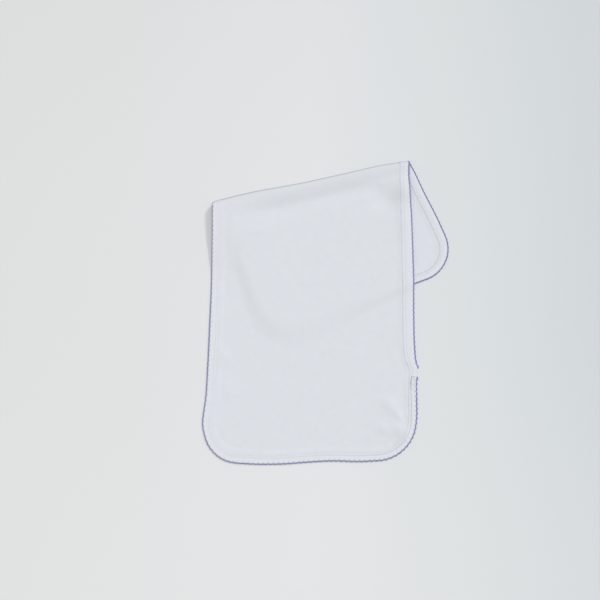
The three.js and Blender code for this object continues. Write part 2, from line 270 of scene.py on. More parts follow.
@dataclass(frozen=True)
class FlatCloth:
    """The cloth opened out: a long rectangle with round corners, edging included."""

    width: float = 250.0
    length: float = 524.0
    corner: float = 45.0

    @property
    def half(self) -> float:
        """Half the width."""
        return self.width / 2

    @property
    def side(self) -> float:
        """Length of a straight side."""
        return self.length - 2 * self.corner

    @property
    def end(self) -> float:
        """Length of a straight end."""
        return self.width - 2 * self.corner

    @property
    def arc(self) -> float:
        """Length of a round corner."""
        return math.pi / 2 * self.corner

    @property
    def area(self) -> float:
        """Area in square millimetres: the rectangle less what the round corners take off."""
        return self.width * self.length - (4 - math.pi) * self.corner**2

    @property
    def round(self) -> float:
        """Length of the outline."""
        return 2 * (self.width + self.length - 4 * self.corner) + 2 * math.pi * self.corner

    def depth(self, u: Array, v: Array) -> Array:
        """Distance in from the outline, by the distance formula of a rectangle with round corners.

        Args:
            u: Places across.
            v: Places along.

        Returns:
            The depth of each place, negative outside.
        """
        a = np.abs(u) - (self.half - self.corner)
        b = np.abs(v - self.length / 2) - (self.length / 2 - self.corner)
        outside = np.hypot(np.maximum(a, 0), np.maximum(b, 0))
        return self.corner - outside - np.minimum(np.maximum(a, b), 0)

    def distance(self, u: Array, v: Array) -> Array:
        """Distance round the outline of the nearest place on it, the reverse of rim().

        Beside a side or an end it is the place along it, and in a corner the corner's angle as an arc.

        Args:
            u: Places across.
            v: Places along.

        Returns:
            Lengths round the outline.
        """
        a = np.abs(u) - self.end / 2
        b = np.abs(v - self.length / 2) - self.side / 2
        in_corner, at_side = (a > 0) & (b > 0), a >= b
        far, right = v > self.length / 2, u > 0
        turned = np.where(in_corner | ~at_side, ~far, ~right)
        across, along = np.where(turned, -u, u), np.where(turned, self.length - v, v)
        angle = self.corner * np.arctan2(np.maximum(b, 0), np.maximum(a, TINY))
        past_corner = self.side + self.arc
        beside = np.where(at_side, along - self.corner, past_corner + self.end / 2 - across)
        corner = np.where(across > 0, self.side + angle, past_corner + self.end + self.arc - angle)
        return np.where(in_corner, corner, beside) + turned * self.round / 2

    def rim(self, distance: Array, depth: Array) -> tuple[Array, Array]:
        """Place at a distance round the outline, from the near end of the right side upwards.

        The right side is a line, then comes the far right corner as an arc, the far end as a line, and
        the next corner. Each part adds its share, which stays the same once it is passed. The second
        half of the way round is the first half turned by half a turn.

        Args:
            distance: Lengths round the outline.
            depth: Depths in from it.

        Returns:
            u and v of each place.
        """
        whole = np.mod(distance, self.round)
        turned = whole >= self.round / 2
        s = whole - turned * self.round / 2
        past_corner = s - self.side - self.arc
        reach = self.corner - depth
        first = np.clip((s - self.side) / self.corner, 0, math.pi / 2)
        second = np.clip((past_corner - self.end) / self.corner, 0, math.pi / 2)
        u = self.end / 2 - np.clip(past_corner, 0, self.end) + reach * (np.cos(first) - np.sin(second))
        v = self.corner + np.minimum(s, self.side) + reach * (np.sin(first) + np.cos(second) - 1)
        return np.where(turned, -u, u), np.where(turned, self.length - v, v)

    def distance_of(self, v: float) -> float:
        """Distance round the outline of a place v on the right side."""
        return v - self.corner

    def along_rim(self, table: Table, distance: Array) -> Array:
        """A table's value at distances round the outline, which the table counts from its near corner."""
        return follow(table, np.mod(distance + self.corner, self.round) - self.corner)


@dataclass(frozen=True)
class LaidCloth:
    """How the flat cloth is folded over and laid down, in millimetres on the floor.

    w is a place along the fold line, and q one across it.
    """

    flat: FlatCloth = FlatCloth()
    # Thickness of the knit, half the bound edge's, and the air under the cloth
    knit: float = 0.75
    strip_half: float = 0.75
    loft: float = 0.1
    # The fold line's turn and distance on the flat cloth, and its bend's radius, which changes along it
    fold_turn: float = math.radians(11.8)
    fold_distance: float = 339.9
    bend_middle: float = 3.5
    bend_slope: float = -0.0056
    bend_at: float = 71.0
    # The step over the hidden edge: its height, and how the front layer sinks again inside it
    step_height: float = 2.3
    step_inside: float = 12.0
    step_settled: float = 80.0
    step_resting: float = 1.9
    # Depths between which the knit comes down from the strip's level to its own
    level_from: float = 12.0
    level_to: float = 17.5
    # Swells fade towards the fold, and towards edges that lie on the floor
    swell_start: float = 30.0
    edge_free: float = 200.0
    edge_flat: float = 15.0
    # How far in the waves of the fold, the near end and the far end reach
    shift_reach: float = 70.0
    near_reach: float = 90.0
    far_reach: float = 60.0
    # Where round the bend its painted shade lies, and how wide it is
    shade_angle: float = math.radians(68)
    shade_spread: float = math.radians(38)
    # Half the distance over which the cloth's slope is measured
    probe: float = 0.2

    def bend_radius(self, w: Array) -> Array:
        """Radius of the bend, a straight line along the fold."""
        return self.bend_middle + self.bend_slope * (w - self.bend_at)

    def shifted(self, u: Array, v: Array) -> tuple[Array, Array]:
        """Place on the flat cloth after the waves of its sides and its ends have moved it.

        The sides' waves are mixed in a straight line across. The ends' fade away along the cloth.

        Args:
            u: Places across the flat cloth.
            v: Places along it.

        Returns:
            The moved u and v.
        """
        flat = self.flat
        left, right = follow(LEFT_WAVE, v), follow(RIGHT_WAVE, v)
        moved = u + left + (right - left) * (u + flat.half) / flat.width
        near = follow(NEAR_WAVE, u) * (1 - ease(v / self.near_reach))
        far = follow(FAR_WAVE, u) * (1 - ease((flat.length - v) / self.far_reach))
        return moved, v + near + far

    def strip_depth(self, u: Array, v: Array) -> Array:
        """Depth of a place, less how far further in the strip lies there."""
        return self.flat.depth(u, v) - self.flat.along_rim(ROW_SHIFT, self.flat.distance(u, v))

    def painted_bend_shade(self, u: Array, v: Array) -> Array:
        """How much a place is painted with the shade of the fold's bend, a bell curve of its angle round the
        bend.

        The angle runs from 0 at the front layer to half a turn at the back.

        Args:
            u: Places across the flat cloth.
            v: Places along it.

        Returns:
            Shares from 0 to 1.
        """
        w, q = self.to_fold(*self.shifted(u, v))
        angle = (q - self.fold_distance) / self.bend_radius(w) + math.pi / 2
        return bell((angle - self.shade_angle) / self.shade_spread)

    def to_fold(self, u: Array, v: Array) -> tuple[Array, Array]:
        """Turns a place to w along the fold line and q across it."""
        c, s = math.cos(self.fold_turn), math.sin(self.fold_turn)
        return u * c + v * s, v * c - u * s

    def from_fold(self, w: Array, q: Array) -> tuple[Array, Array]:
        """Turns w along the fold line and q across it back to a place."""
        c, s = math.cos(self.fold_turn), math.sin(self.fold_turn)
        return w * c - q * s, w * s + q * c

    def climb(self, w: Array, q: Array) -> Array:
        """Height of the front layer over the hidden part of the back layer.

        It rises as half a cosine wave outside the hidden edge, and sinks by another to rest on the cloth
        inside it. How far out the rise lies, and its half width, change along the hidden edge.

        Args:
            w: Places along the fold line.
            q: Places across it, on the floor.

        Returns:
            The height at each place.
        """
        u, v = self.from_fold(w, 2 * self.fold_distance - q)
        depth = self.flat.depth(u, v)
        out, half = follow(STEP_OUT, u + v), follow(STEP_HALF, u + v)
        up = ease((depth + out + half) / (2 * half))
        down = ease((depth - self.step_inside) / (self.step_settled - self.step_inside))
        return self.step_height * up - (self.step_height - self.step_resting) * down

    def swell(self, x: Array, y: Array) -> Array:
        """Height of the soft hills and hollows of the front layer, each a bell curve both ways.

        Args:
            x: Places across the floor.
            y: Places along it.

        Returns:
            The sum of their heights.
        """
        total = np.zeros(np.broadcast(x, y).shape)
        for s in SWELLS:
            c, n = math.cos(math.radians(s.turn)), math.sin(math.radians(s.turn))
            a = ((x - s.x) * c + (y - s.y) * n) / s.across
            b = ((y - s.y) * c - (x - s.x) * n) / s.along
            total += s.rise * np.exp(-a * a - b * b)
        return total

    def middle(self, u: Array, v: Array) -> Array:
        """Middle of the cloth's thickness, once folded and laid down.

        The flat place is shifted by the waves of the edges, then measured across the fold line. Up to
        the bend it stays where it is and is lifted towards the fold, round the bend it follows half a
        circle, and past it it lies mirrored on the floor.

        Args:
            u: Places across the flat cloth.
            v: Places along it.

        Returns:
            An array of points, with x, y and z last.
        """
        w, flat_q = self.to_fold(*self.shifted(u, v))
        d = flat_q - self.fold_distance
        radius = self.bend_radius(w)
        quarter = math.pi / 2 * radius
        at_edge = 1 - ease((self.strip_depth(u, v) - self.level_from) / (self.level_to - self.level_from))
        rest = self.loft + self.knit / 2 + (self.strip_half - self.knit / 2) * at_edge
        near, past_bend = follow(NEAR_FALL, w), -d - quarter
        near_fall, far_fall = (ease(past_bend / follow(reach, w)) for reach in (NEAR_REACH, FAR_REACH))
        fall = near * near_fall + (1 - near) * far_fall
        climb = self.climb(w, flat_q)
        angle = np.clip((d + quarter) / radius, 0, math.pi)
        front, back = d < -quarter, d >= quarter
        bend_q = self.fold_distance - quarter + radius * np.sin(angle)
        q = np.where(front, flat_q, np.where(back, 2 * self.fold_distance - flat_q, bend_q))
        above = np.where(front, climb + (2 * radius - climb) * (1 - fall), radius * (1 + np.cos(angle)))
        z = rest + np.where(back, 0, above)
        q = q + follow(FOLD_SHIFT, w) * bell(d / self.shift_reach)
        x, y = self.from_fold(w, q)
        on_floor = np.maximum(v - self.edge_free, 0) / 2
        fade = ease(-d / self.swell_start) * ease((self.flat.depth(u, v) + on_floor) / self.edge_flat)
        z = z + np.where(d < 0, self.swell(x, y) * fade, 0)
        return np.stack([x, y, z], axis=-1)

    def place(self, u: Array, v: Array, height: Array) -> Array:
        """Points at a height above the middle of the cloth, along its normal.

        The normal is the cross product of the differences of the middle across and along.

        Args:
            u: Places across the flat cloth.
            v: Places along it.
            height: Heights above the middle; below it they are negative.

        Returns:
            An array of points, with x, y and z last.
        """
        u, v, height = np.broadcast_arrays(*map(np.asarray, (u, v, height)))
        across = self.middle(u + self.probe, v) - self.middle(u - self.probe, v)
        along = self.middle(u, v + self.probe) - self.middle(u, v - self.probe)
        normal = np.cross(across, along)
        normal /= np.linalg.norm(normal, axis=-1, keepdims=True)
        return self.middle(u, v) + normal * height[..., None]


def srgb(hexadecimal: str) -> tuple[float, float, float, float]:
    """Turns an sRGB hex colour to linear light, with full opacity.

    Args:
        hexadecimal: Six hex digits.

    Returns:
        Red, green, blue and alpha.
    """
    parts = [int(hexadecimal[i : i + 2], 16) / 255 for i in (0, 2, 4)]
    linear = [c / 12.92 if c <= 0.04045 else ((c + 0.055) / 1.055) ** 2.4 for c in parts]
    return (*linear, 1.0)


def add_node(
    tree: NodeTree, kind: str, inputs: dict | tuple = (), **settings
) -> bpy.types.bpy_prop_collection:
    """Adds a node, sets its settings and fills or links its inputs.

    Args:
        tree: The material's node tree.
        kind: The node's type name, without its first word.
        inputs: Values or other nodes' output sockets, in order or by the name or number of the input.
        **settings: Attributes of the node.

    Returns:
        The new node's outputs.
    """
    made = tree.nodes.new("ShaderNode" + kind)
    for name, value in settings.items():
        setattr(made, name, value)
    for name, value in inputs.items() if isinstance(inputs, dict) else enumerate(inputs):
        if isinstance(value, NodeSocket):
            tree.links.new(value, made.inputs[name])
        else:
            made.inputs[name].default_value = value
    return made.outputs


def new_material(name: str) -> tuple[Material, NodeTree]:
    """Makes a material with an empty node tree.

    Args:
        name: The material's name.

    Returns:
        The material and its tree.
    """
    material = bpy.data.materials.new(name)
    material.use_nodes = True
    material.node_tree.nodes.clear()
    return material, material.node_tree


def dress(
    tree: NodeTree,
    colours: tuple[NodeSocket, str, str, str],
    relief: dict,
    surface: dict,
) -> None:
    """Ends a cloth or thread material: its colour, its painted shade, its relief and its surface.

    Args:
        tree: The material's node tree.
        colours: The share of light, and the hex colours in shade, in light and of the painted shade.
        relief: Inputs of the bump.
        surface: The shader's other inputs.
    """
    share, shade, light, painted_dark = colours
    colour = add_node(tree, "Mix", {0: share, 6: srgb(shade), 7: srgb(light)}, data_type="RGBA")[2]
    # Painted shade: where the piece's shade attribute is set, the colour turns darker.
    painted_shade = add_node(tree, "Attribute", attribute_name="painted_shade")["Fac"]
    colour = add_node(tree, "Mix", {0: painted_shade, 6: colour, 7: srgb(painted_dark)}, data_type="RGBA")[2]
    normal = add_node(tree, "Bump", relief)["Normal"]
    shader = add_node(tree, "BsdfPrincipled", {"Base Color": colour, "Normal": normal, **surface})[0]
    add_node(tree, "OutputMaterial", {"Surface": shader})


@dataclass(frozen=True)
class KnitFinish:
    """Soft white cotton interlock knit: fine upright ribs of small loops, matte, with a light nap.

    The ribs are about 0.9 mm apart in the real cloth. They are drawn at that size, low enough that
    they blend to an even soft surface from a step away.
    """

    name: str
    # light and shade are mixed by random mottle and by painted shade in the rib valleys; the third colour is
    # the painted shade of bends, needle lines, seam and lap edges
    light: str
    shade: str
    painted_dark: str
    rib: float
    row: float
    depth: float
    mottle: float = 9.0
    nap: float = 1.7
    loop_lean: float = 1.6
    loop_relief: float = 0.22
    rib_relief: float = 0.45
    nap_relief: float = 0.9
    rib_valley_shade: float = 0.35
    strength: float = 0.55
    roughness: float = 0.95
    ior: float = 1.45
    shine: float = 0.2

    def material(self) -> Material:
        """Builds the knit from the piece's own map, which is in metres along and across the cloth.

        A rib is a rounded ridge, the absolute value of a sine across it. The loops are a sine along the
        rib whose phase leans out to both sides of it. Slow noise mottles the colour, and the valleys
        between the ribs are painted darker as shade. Where the piece has painted shade, at its sharp bend
        and along its needle lines, the colour turns to the darker painted shade colour.

        Returns:
            The material.
        """
        material, tree = new_material(self.name)
        uv = add_node(tree, "UVMap", uv_map="flat")["UV"]
        place = add_node(tree, "SeparateXYZ", (uv,))
        per_rib, per_row = math.pi / (self.rib * METRES), 2 * math.pi / (self.row * METRES)
        across = add_node(tree, "Math", (place["X"], per_rib), operation="MULTIPLY")[0]
        wave = add_node(tree, "Math", (across,), operation="SINE")[0]
        ridge = add_node(tree, "Math", (wave,), operation="ABSOLUTE")[0]
        lean = add_node(tree, "Math", (ridge, self.loop_lean), operation="MULTIPLY")[0]
        along = add_node(tree, "Math", (place["Y"], per_row, lean), operation="MULTIPLY_ADD")[0]
        loops = add_node(tree, "Math", (along,), operation="SINE")[0]
        noises = []
        for size, detail, roughness in ((self.nap, 3.0, 0.65), (self.mottle, 2.0, 0.5)):
            noise = {"Vector": uv, "Scale": 1 / (size * METRES), "Detail": detail, "Roughness": roughness}
            noises.append(add_node(tree, "TexNoise", noise)["Fac"])
        nap, patches = noises
        relief = add_node(tree, "Math", (loops, self.loop_relief, 0.5), operation="MULTIPLY_ADD")[0]
        relief = add_node(tree, "Math", (ridge, self.rib_relief, relief), operation="MULTIPLY_ADD")[0]
        relief = add_node(tree, "Math", (nap, self.nap_relief, relief), operation="MULTIPLY_ADD")[0]
        # Painted shade: the valleys between the ribs get less of the light colour, on top of the random
        # mottle
        mottle_and_valley_shade = add_node(tree, "Math", (patches, 1 - self.rib_valley_shade), operation="MULTIPLY")[0]
        mottle_and_valley_shade = add_node(tree, "Math", (ridge, self.rib_valley_shade, mottle_and_valley_shade), operation="MULTIPLY_ADD")[0]
        dress(
            tree,
            (mottle_and_valley_shade, self.shade, self.light, self.painted_dark),
            {"Strength": self.strength, "Distance": self.depth * METRES, "Height": relief},
            {"Roughness": self.roughness, "IOR": self.ior, "Specular IOR Level": self.shine},
        )
        return material


@dataclass(frozen=True)
class ThreadFinish:
    """Spun sewing thread: twisted strands that catch a little light along their length.

    A strand goes once round the real thread in about 0.6 mm, and is drawn so.
    """

    name: str
    light: str
    shade: str
    # The darker colour of the painted shade
    shade_hue: str
    twist: float
    depth: float = 0.06
    strength: float = 0.5
    roughness: float = 0.6
    ior: float = 1.5
    shine: float = 0.4
    sheen: float = 0.15
    sheen_roughness: float = 0.4

    def material(self) -> Material:
        """Builds slanted strands from a sine of the way along the thread plus the way round it.

        The piece's map holds the length along in metres and the share of a turn round the thread. Where
        the piece has painted shade, the colour turns to the darker shade colour.

        Returns:
            The material.
        """
        material, tree = new_material(self.name)
        uv = add_node(tree, "UVMap", uv_map="flat")["UV"]
        place = add_node(tree, "SeparateXYZ", (uv,))
        turn = add_node(tree, "Math", (place["Y"], 2 * math.pi), operation="MULTIPLY")[0]
        per_twist = 2 * math.pi / (self.twist * METRES)
        strand = add_node(tree, "Math", (place["X"], per_twist, turn), operation="MULTIPLY_ADD")[0]
        wave = add_node(tree, "Math", (strand,), operation="SINE")[0]
        # Painted light and shade of the strands: lighter on each strand's crest, darker between strands
        ply = add_node(tree, "Math", (wave, 0.5, 0.5), operation="MULTIPLY_ADD")[0]
        dress(
            tree,
            (ply, self.shade, self.light, self.shade_hue),
            {"Strength": self.strength, "Distance": self.depth * METRES, "Height": ply},
            {
                "Roughness": self.roughness, "IOR": self.ior, "Specular IOR Level": self.shine,
                "Sheen Weight": self.sheen, "Sheen Roughness": self.sheen_roughness,
            },
        )
        return material


@dataclass(frozen=True)
class PaleFloorWithPaintedLight:
    """Smooth pale board, matte, with painted light: its white turns slowly cooler and darker to the right.

    The hues stand at places across, in metres, and the near and far hues are laid over them thinly, so that
    the painted light is also lighter towards the near side.
    """

    name: str = "board_with_painted_light"
    # Painted light falling off: cooler and darker to the right
    across: tuple[tuple[float, str], ...] = (
        (-0.40, "E3E5E3"), (-0.18, "E4E5E6"), (-0.02, "E6E7E9"), (0.155, "DFE3E4"), (0.33, "D7DCDF"),
    )
    # Painted light: lighter towards the near side, a pale grey towards the far side
    near: str = "F4F3F2"
    near_most: float = 0.25
    far: str = "E2E3E4"
    far_most: float = 0.12
    reach: float = 0.42
    roughness: float = 0.75
    shine: float = 0.3

    def material(self) -> Material:
        """Builds the painted light as a ramp of white across and a second, fainter one along.

        Returns:
            The material.
        """
        material, tree = new_material(self.name)
        place = add_node(tree, "SeparateXYZ", (add_node(tree, "TexCoord")["Object"],))
        first, last = self.across[0][0], self.across[-1][0]
        share = add_node(tree, "MapRange", {"Value": place["X"], "From Min": first, "From Max": last})[0]
        colour = add_node(tree, "ValToRGB", (share,))["Color"]
        stops = colour.node.color_ramp.elements
        stops[0].color, stops[1].color = srgb(self.across[0][1]), srgb(self.across[-1][1])
        for at, hue in self.across[1:-1]:
            stops.new((at - first) / (last - first)).color = srgb(hue)
        for hue, edge, most in (
            (self.near, -self.reach, self.near_most), (self.far, self.reach, self.far_most),
        ):
            span = {"Value": place["Y"], "From Min": 0.0, "From Max": edge, "To Max": most}
            amount = add_node(tree, "MapRange", span, interpolation_type="SMOOTHSTEP")[0]
            colour = add_node(tree, "Mix", {0: amount, 6: colour, 7: srgb(hue)}, data_type="RGBA")[2]
        surface = {"Base Color": colour, "Roughness": self.roughness, "Specular IOR Level": self.shine}
        add_node(tree, "OutputMaterial", {"Surface": add_node(tree, "BsdfPrincipled", surface)[0]})
        return material


def make_mesh(
    name: str,
    points: Array,
    faces: Array,
    uv: tuple[Array, Array],
    finish: Material,
    painted_shade: Array | None = None,
) -> Object:
    """Makes a smooth mesh object at the origin, with its place in its mesh.

    Args:
        name: The piece's name.
        points: Points in millimetres in the row frame, with x, y and z last.
        faces: Four point numbers for each face, turning anticlockwise seen from outside.
        uv: The two map values in metres, each broadcast to the points.
        finish: The material.
        painted_shade: How far each point's colour is painted darker as shade, towards the painted shade
            colour, from 0 to 1.

    Returns:
        The object, linked to the scene.
    """
    shape = points.shape[:-1]
    mapped = np.stack([np.broadcast_to(part, shape).ravel() for part in uv], axis=-1)
    mesh = bpy.data.meshes.new(name)
    mesh.vertices.add(len(mapped))
    mesh.vertices.foreach_set("co", (points * METRES).astype(np.float32).ravel())
    mesh.loops.add(faces.size)
    mesh.loops.foreach_set("vertex_index", faces.astype(np.int32).ravel())
    mesh.polygons.add(len(faces))
    mesh.polygons.foreach_set("loop_start", np.arange(0, faces.size, 4, dtype=np.int32))
    mesh.update(calc_edges=True)
    layer = mesh.uv_layers.new(name="flat")
    layer.data.foreach_set("uv", mapped[faces.ravel()].astype(np.float32).ravel())
    # Painted shade, stored per point for the material to read.
    if painted_shade is not None:
        share = np.broadcast_to(np.clip(painted_shade, 0, 1), shape)
        marked = mesh.attributes.new("painted_shade", "FLOAT", "POINT")
        marked.data.foreach_set("value", share.astype(np.float32).ravel())
    mesh.polygons.foreach_set("use_smooth", np.ones(len(faces), bool))
    mesh.materials.append(finish)
    mesh.validate()
    made = bpy.data.objects.new(name, mesh)
    bpy.context.scene.collection.objects.link(made)
    return made


def grid_faces(rows: int, columns: int, round_columns: bool) -> Array:
    """Faces of a grid of points, as four point numbers each.

    Args:
        rows: Number of rows.
        columns: Number of points in a row.
        round_columns: Whether each row closes on itself.

    Returns:
        The faces, in order.
    """
    row, column = np.meshgrid(
        np.arange(rows - 1), np.arange(columns if round_columns else columns - 1), indexing="ij"
    )
    beside = (column + 1) % columns
    corners = (row, column), (row, beside), (row + 1, beside), (row + 1, column)
    return np.stack([r * columns + c for r, c in corners], axis=-1).reshape(-1, 4)


def tube_faces(rows: int, columns: int) -> Array:
    """Faces of a closed tube, outwards where its rings turn clockwise looking along it.

    Each ring has an even number of points, and the ends are closed by strips of four across them.

    Args:
        rows: Number of rings.
        columns: Number of points in a ring.

    Returns:
        The faces of the wall and of both ends.
    """
    i = np.arange(columns // 2 - 1)
    cap = np.stack([i, i + 1, columns - 2 - i, columns - 1 - i], axis=-1)
    last = cap + (rows - 1) * columns
    return np.concatenate([grid_faces(rows, columns, True)[:, ::-1], cap, last[:, ::-1]])


@dataclass
class Piece:
    """What every sub-assembly shares: the laid cloth, and where the row frame's origin lies on its floor."""

    laid: LaidCloth
    offset: Array

    @property
    def flat(self) -> FlatCloth:
        """The cloth opened out."""
        return self.laid.flat

    def on_rim(self, distance: Array, depth: Array, height: Array) -> Array:
        """Points in the row frame over places on the rim.

        Args:
            distance: Lengths round the outline.
            depth: Depths in from it.
            height: Heights above the middle of the cloth.

        Returns:
            An array of points, with x, y and z last.
        """
        return self.laid.place(*self.flat.rim(distance, depth), height) - self.offset


@dataclass
class ClothPanel(Piece):
    """The knit cloth itself: one thin sheet, fine enough for its bend, its step and its puckers."""

    edge: float = 3.1
    corner_rows: int = 34
    front_rows: int = 138
    bend_rows: int = 30
    back_rows: int = 62
    bend_margin: float = 6.0
    side_columns: int = 26
    middle_columns: int = 88
    side_width: float = 26.0
    pucker: float = 0.16
    pucker_reach: float = 6.5
    pucker_waves: Waves = ((7.9, 0.3, 0.5), (12.7, 2.1, 0.6), (21.3, 4.0, 0.7))
    pucker_mean: float = 0.6
    pucker_surge: Waves = ((83.0, 0.7, 0.4),)
    pinch: float = 0.6
    pinch_start: float = 9.0
    pinch_end: float = 10.6
    bend_shade: float = 0.85
    seam_shade: float = 0.07
    seam_depth: float = 12.7
    seam_width: float = 0.9

    def rows(self) -> tuple[Array, Array, Array]:
        """The rows across the cloth, as straight lines v = start + slope times u, and their half widths.

        They are level at the ends and beside the fold near it. In the corners the height of a row
        follows the cosine of the corner's angle and its half width the sine.

        Returns:
            Start, slope and half width of each row.
        """
        flat, laid = self.flat, self.laid
        reach = flat.corner - self.edge
        turn = np.linspace(0, math.pi / 2, self.corner_rows, endpoint=False)
        corner_v = flat.corner - reach * np.cos(turn)
        corner_half = flat.half - flat.corner + reach * np.sin(turn)
        cos, sin = math.cos(laid.fold_turn), math.sin(laid.fold_turn)
        quarter = math.pi / 2 * laid.bend_middle + self.bend_margin
        bend_start = (laid.fold_distance + np.linspace(-quarter, quarter, self.bend_rows + 1)) / cos
        slope = sin / cos
        front = np.linspace(0, 1, self.front_rows, endpoint=False)
        back = np.linspace(0, 1, self.back_rows + 1)[1:]
        far = flat.length - flat.corner
        start = np.concatenate([
            corner_v,
            flat.corner + (bend_start[0] - flat.corner) * front,
            bend_start,
            bend_start[-1] + (far - bend_start[-1]) * back,
            flat.length - corner_v[::-1],
        ])
        slopes = np.concatenate([
            0 * corner_v, slope * front, np.full(self.bend_rows + 1, slope), slope * (1 - back), 0 * corner_v,
        ])
        straight = len(start) - 2 * len(corner_v)
        halves = np.concatenate([corner_half, np.full(straight, flat.half - self.edge), corner_half[::-1]])
        return start, slopes, halves

    def columns(self) -> Array:
        """Places across a row, close together beside the edges.

        Returns:
            Shares of the half width, from -1 to 1.
        """
        share = self.side_width / (self.flat.half - self.edge)
        side = np.linspace(0, share, self.side_columns, endpoint=False)
        inner = np.linspace(-1 + share, 1 - share, self.middle_columns + 1)
        return np.concatenate([-1 + side, inner, 1 - side[::-1]])

    def puckers(self, u: Array, v: Array) -> Array:
        """Small waves where the seam draws the knit in: sines along the edge that die away inwards.

        Args:
            u: Places across the flat cloth.
            v: Places along it.

        Returns:
            The height of each place.
        """
        along = self.flat.distance(u, v)
        strength = self.pucker_mean + ripple(along, self.pucker_surge)
        fade = np.exp(-np.maximum(self.flat.depth(u, v) - self.laid.level_from, 0) / self.pucker_reach)
        return self.pucker * strength * ripple(along, self.pucker_waves) * fade

    def build(self, finish: Material) -> Object:
        """Builds the front and reverse skins from one grid and joins them by a rim.

        Args:
            finish: The knit.

        Returns:
            The cloth.
        """
        start, slopes, halves = self.rows()
        u = halves[:, None] * self.columns()[None, :]
        v = start[:, None] + slopes[:, None] * u
        lift = self.puckers(u, v)
        strip_depth = self.laid.strip_depth(u, v)
        under = ease((self.pinch_end - strip_depth) / (self.pinch_end - self.pinch_start))
        half = self.laid.knit / 2 * (1 - self.pinch * under)
        front = self.laid.place(u, v, half + lift * (1 - under))
        points = np.stack([front, self.laid.place(u, v, -half)]) - self.offset
        rows, columns = u.shape
        count = rows * columns
        faces = grid_faces(rows, columns, False)
        number = np.arange(count).reshape(rows, columns)
        ring = np.concatenate([number[0, :-1], number[:-1, -1], number[-1, :0:-1], number[:0:-1, 0]])
        after = np.roll(ring, -1)
        rim = np.stack([ring, ring + count, after + count, after], axis=-1)
        faces = np.concatenate([faces, faces[:, ::-1] + count, rim])
        # Painted shade round the fold's bend, and a painted shade line beside the seam
        beside = self.flat.along_rim(SEAM_SHADE_LINE, self.flat.distance(u, v))
        painted_dark = bell((strip_depth - self.seam_depth) / self.seam_width)
        painted_shade = self.bend_shade * self.laid.painted_bend_shade(u, v) + self.seam_shade * beside * painted_dark
        uv = (u + self.flat.half) * METRES, v * METRES
        return make_mesh("knit_cloth", points, faces, uv, finish, painted_shade)


